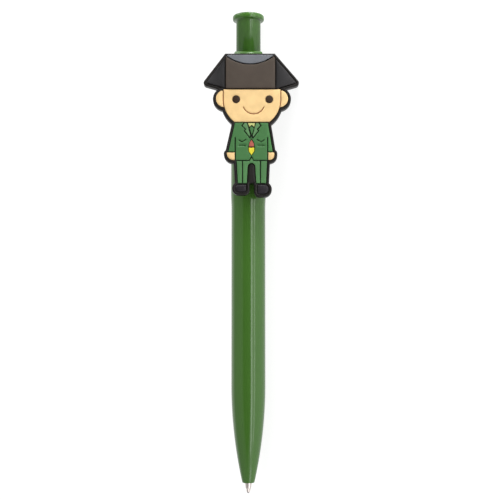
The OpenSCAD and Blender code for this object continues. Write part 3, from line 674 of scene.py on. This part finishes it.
def wound_coil(sizes):
    """A round wire wound along the pen, close at its ends and open between, sizes in metres and turns."""
    tree = bpy.data.node_groups.new("wound_coil", "GeometryNodeTree")
    board = Board(tree)
    made = {
        name: tree.interface.new_socket(name, in_out="INPUT", socket_type="NodeSocketFloat")
        for name in sizes
    }
    tree.interface.new_socket("Coil", in_out="OUTPUT", socket_type="NodeSocketGeometry")
    given = tree.nodes.new("NodeGroupInput")
    start, length, radius, wire, ends, open_turns = (Value(board, given.outputs[name]) for name in sizes)

    turn = board.add("GeometryNodeSplineParameter") * (open_turns + 2 * ends)
    closed = turn.math("MINIMUM", ends) + (turn - ends - open_turns).math("MAXIMUM", 0.0)
    opened = (turn - closed).math("DIVIDE", open_turns)
    along = start + closed * wire + opened * (length - 2 * ends * wire)
    angle = math.tau * turn
    across, up = (radius * angle.math(wave) for wave in ("COSINE", "SINE"))
    place = board.add("ShaderNodeCombineXYZ", along, across, up)
    line = board.add("GeometryNodeCurvePrimitiveLine")
    line = board.add("GeometryNodeResampleCurve", line, Count=COIL_POINTS)
    path = board.add("GeometryNodeSetPosition", line, Position=place)
    section = board.add("GeometryNodeCurvePrimitiveCircle", Resolution=WIRE_SIDES, Radius=wire * 0.5)
    coil = board.add("GeometryNodeCurveToMesh", path, Profile_Curve=section, Fill_Caps=True)
    coil = board.add("GeometryNodeRealizeInstances", coil)
    coil = board.add("GeometryNodeSetMaterial", coil, Material=finishes["spring_steel"])
    board.set(tree.nodes.new("NodeGroupOutput").inputs["Coil"], coil)
    return tree, {made[name].identifier: sizes[name] for name in sizes}


def spring_coil():
    """The return spring, wound once at one length; the real one shortens as the refill comes down on it."""
    tree, inputs = wound_coil({
        "Start": -48.55 * MM, "Length": 17.5 * MM, "Radius": 1.925 * MM, "Wire": 0.35 * MM,
        "Ends": 1.5, "Open": 10.0,
    })
    holder = in_scene("coil_form", bpy.data.meshes.new("coil_form"))
    winding = holder.modifiers.new("winding", "NODES")
    winding.node_group = tree
    for identifier, size in inputs.items():
        winding[identifier] = size
    shown = holder.evaluated_get(bpy.context.evaluated_depsgraph_get())
    mesh = bpy.data.meshes.new_from_object(shown)
    bpy.data.objects.remove(holder)
    bm = bmesh.new()
    bm.from_mesh(mesh)
    bmesh.ops.remove_doubles(bm, verts=bm.verts, dist=SAME_POINT)
    bmesh.ops.recalc_face_normals(bm, faces=bm.faces)
    shape_mesh(mesh, bm)
    coil = in_scene("spring_coil", mesh)
    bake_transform(coil)
    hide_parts("return_spring")


# Floor and light

FLOOR_SIZE = 6
FLOOR_SHADE = 0.88
FLOOR_GLOW = 0.72  # how much of the floor glows for the camera and in reflections
GLOW_LEVEL = 1.22


def build_floor():
    """A plain pale floor that takes the object's shadow and otherwise shows white."""
    material = bpy.data.materials.new("pale_floor")
    material.use_nodes = True
    board = Board(material.node_tree)
    seen, mirrored, through = (
        board.add("ShaderNodeLightPath", output=f"Is {ray} Ray")
        for ray in ("Camera", "Glossy", "Transmission")
    )
    glow = board.add("ShaderNodeEmission", WHITE, GLOW_LEVEL)
    plain = board.add("ShaderNodeBsdfDiffuse", (FLOOR_SHADE, FLOOR_SHADE, FLOOR_SHADE, 1))
    mixed = board.add("ShaderNodeMixShader", (seen + mirrored + through) * FLOOR_GLOW, plain, glow)
    board.set(board.tree.nodes["Material Output"].inputs["Surface"], mixed)
    bpy.ops.mesh.primitive_plane_add(size=FLOOR_SIZE, location=(0, 0, cad_box[0].z))
    floor = bpy.context.object
    floor.name = "floor"
    floor.data.materials.append(material)


def build_world():
    """A pale room: dimmer overhead, dark behind the camera, brighter past the pen's ends and on two sides."""
    world = bpy.data.worlds.new("studio")
    world.use_nodes = True
    board = Board(world.node_tree)
    way = board.add("ShaderNodeTexCoord", output="Generated")

    def light_from(direction, start, end, level, base=0.0):
        """The level towards a direction and the base away from it, changing between two cosines."""
        return board.dot(way, direction).between(start, end, base, level)

    button_end = light_from(ALONG, 0.4, 0.6, level=0.6)
    tip_end = light_from(-ALONG, 0.4, 0.6, level=0.12)
    sky = light_from((0, 0, 1), 0.3, 0.45, level=0.36, base=0.9)
    left = light_from(-RIGHT, 0.3, 0.9, level=0.16)
    window = light_from((0, -1, 0), 0.5, 0.9, level=0.5)
    dark = light_from(round_pen(-10), 0.86, 0.92, level=0.1, base=1.0)
    background = world.node_tree.nodes["Background"]
    board.set(background.inputs["Strength"], (sky + left + window + button_end + tip_end) * dark)
    board.set(background.inputs["Color"], WHITE)
    bpy.context.scene.world = world


def lamp(name, turn, lean, width, length, distance, level):
    """A soft lamp, turned round the pen from the figure's front and leaning towards the button."""
    tilt = math.radians(lean)
    towards = round_pen(turn) * math.cos(tilt) + ALONG * math.sin(tilt)
    data = bpy.data.lights.new(name, "AREA")
    data.shape = "RECTANGLE"
    data.size, data.size_y = length, width
    data.energy = level * width * length * math.pi
    x = (ALONG - towards * ALONG.dot(towards)).normalized()
    place = VIEW_MIDDLE + towards * distance
    in_scene(name, data).matrix_world = axes(x, towards.cross(x), towards, place)


# The whole scene

place_camera()
build_floor()
build_world()
lamp("front_strip", turn=22, lean=0, width=0.08, length=0.6, distance=0.5, level=3.2)
lamp("low_strip", turn=42.5, lean=0, width=0.03, length=0.6, distance=0.6, level=4.6)
lamp("head_lamp", turn=24, lean=65, width=0.05, length=0.06, distance=0.17, level=12)
lamp("foot_lamp", turn=34, lean=-58, width=0.1, length=0.2, distance=0.3, level=1.5)
lamp("left_lamp", turn=-80, lean=40, width=0.3, length=0.3, distance=0.6, level=3)

backing()
for node, shape in POURS.items():
    pour(node, *shape)
for node, name in HARD.items():
    kept_form(node, name)
barrel_shell()
tip_turning()
ball()
spring_coil()

bpy.context.scene.view_settings.view_transform = "Standard"
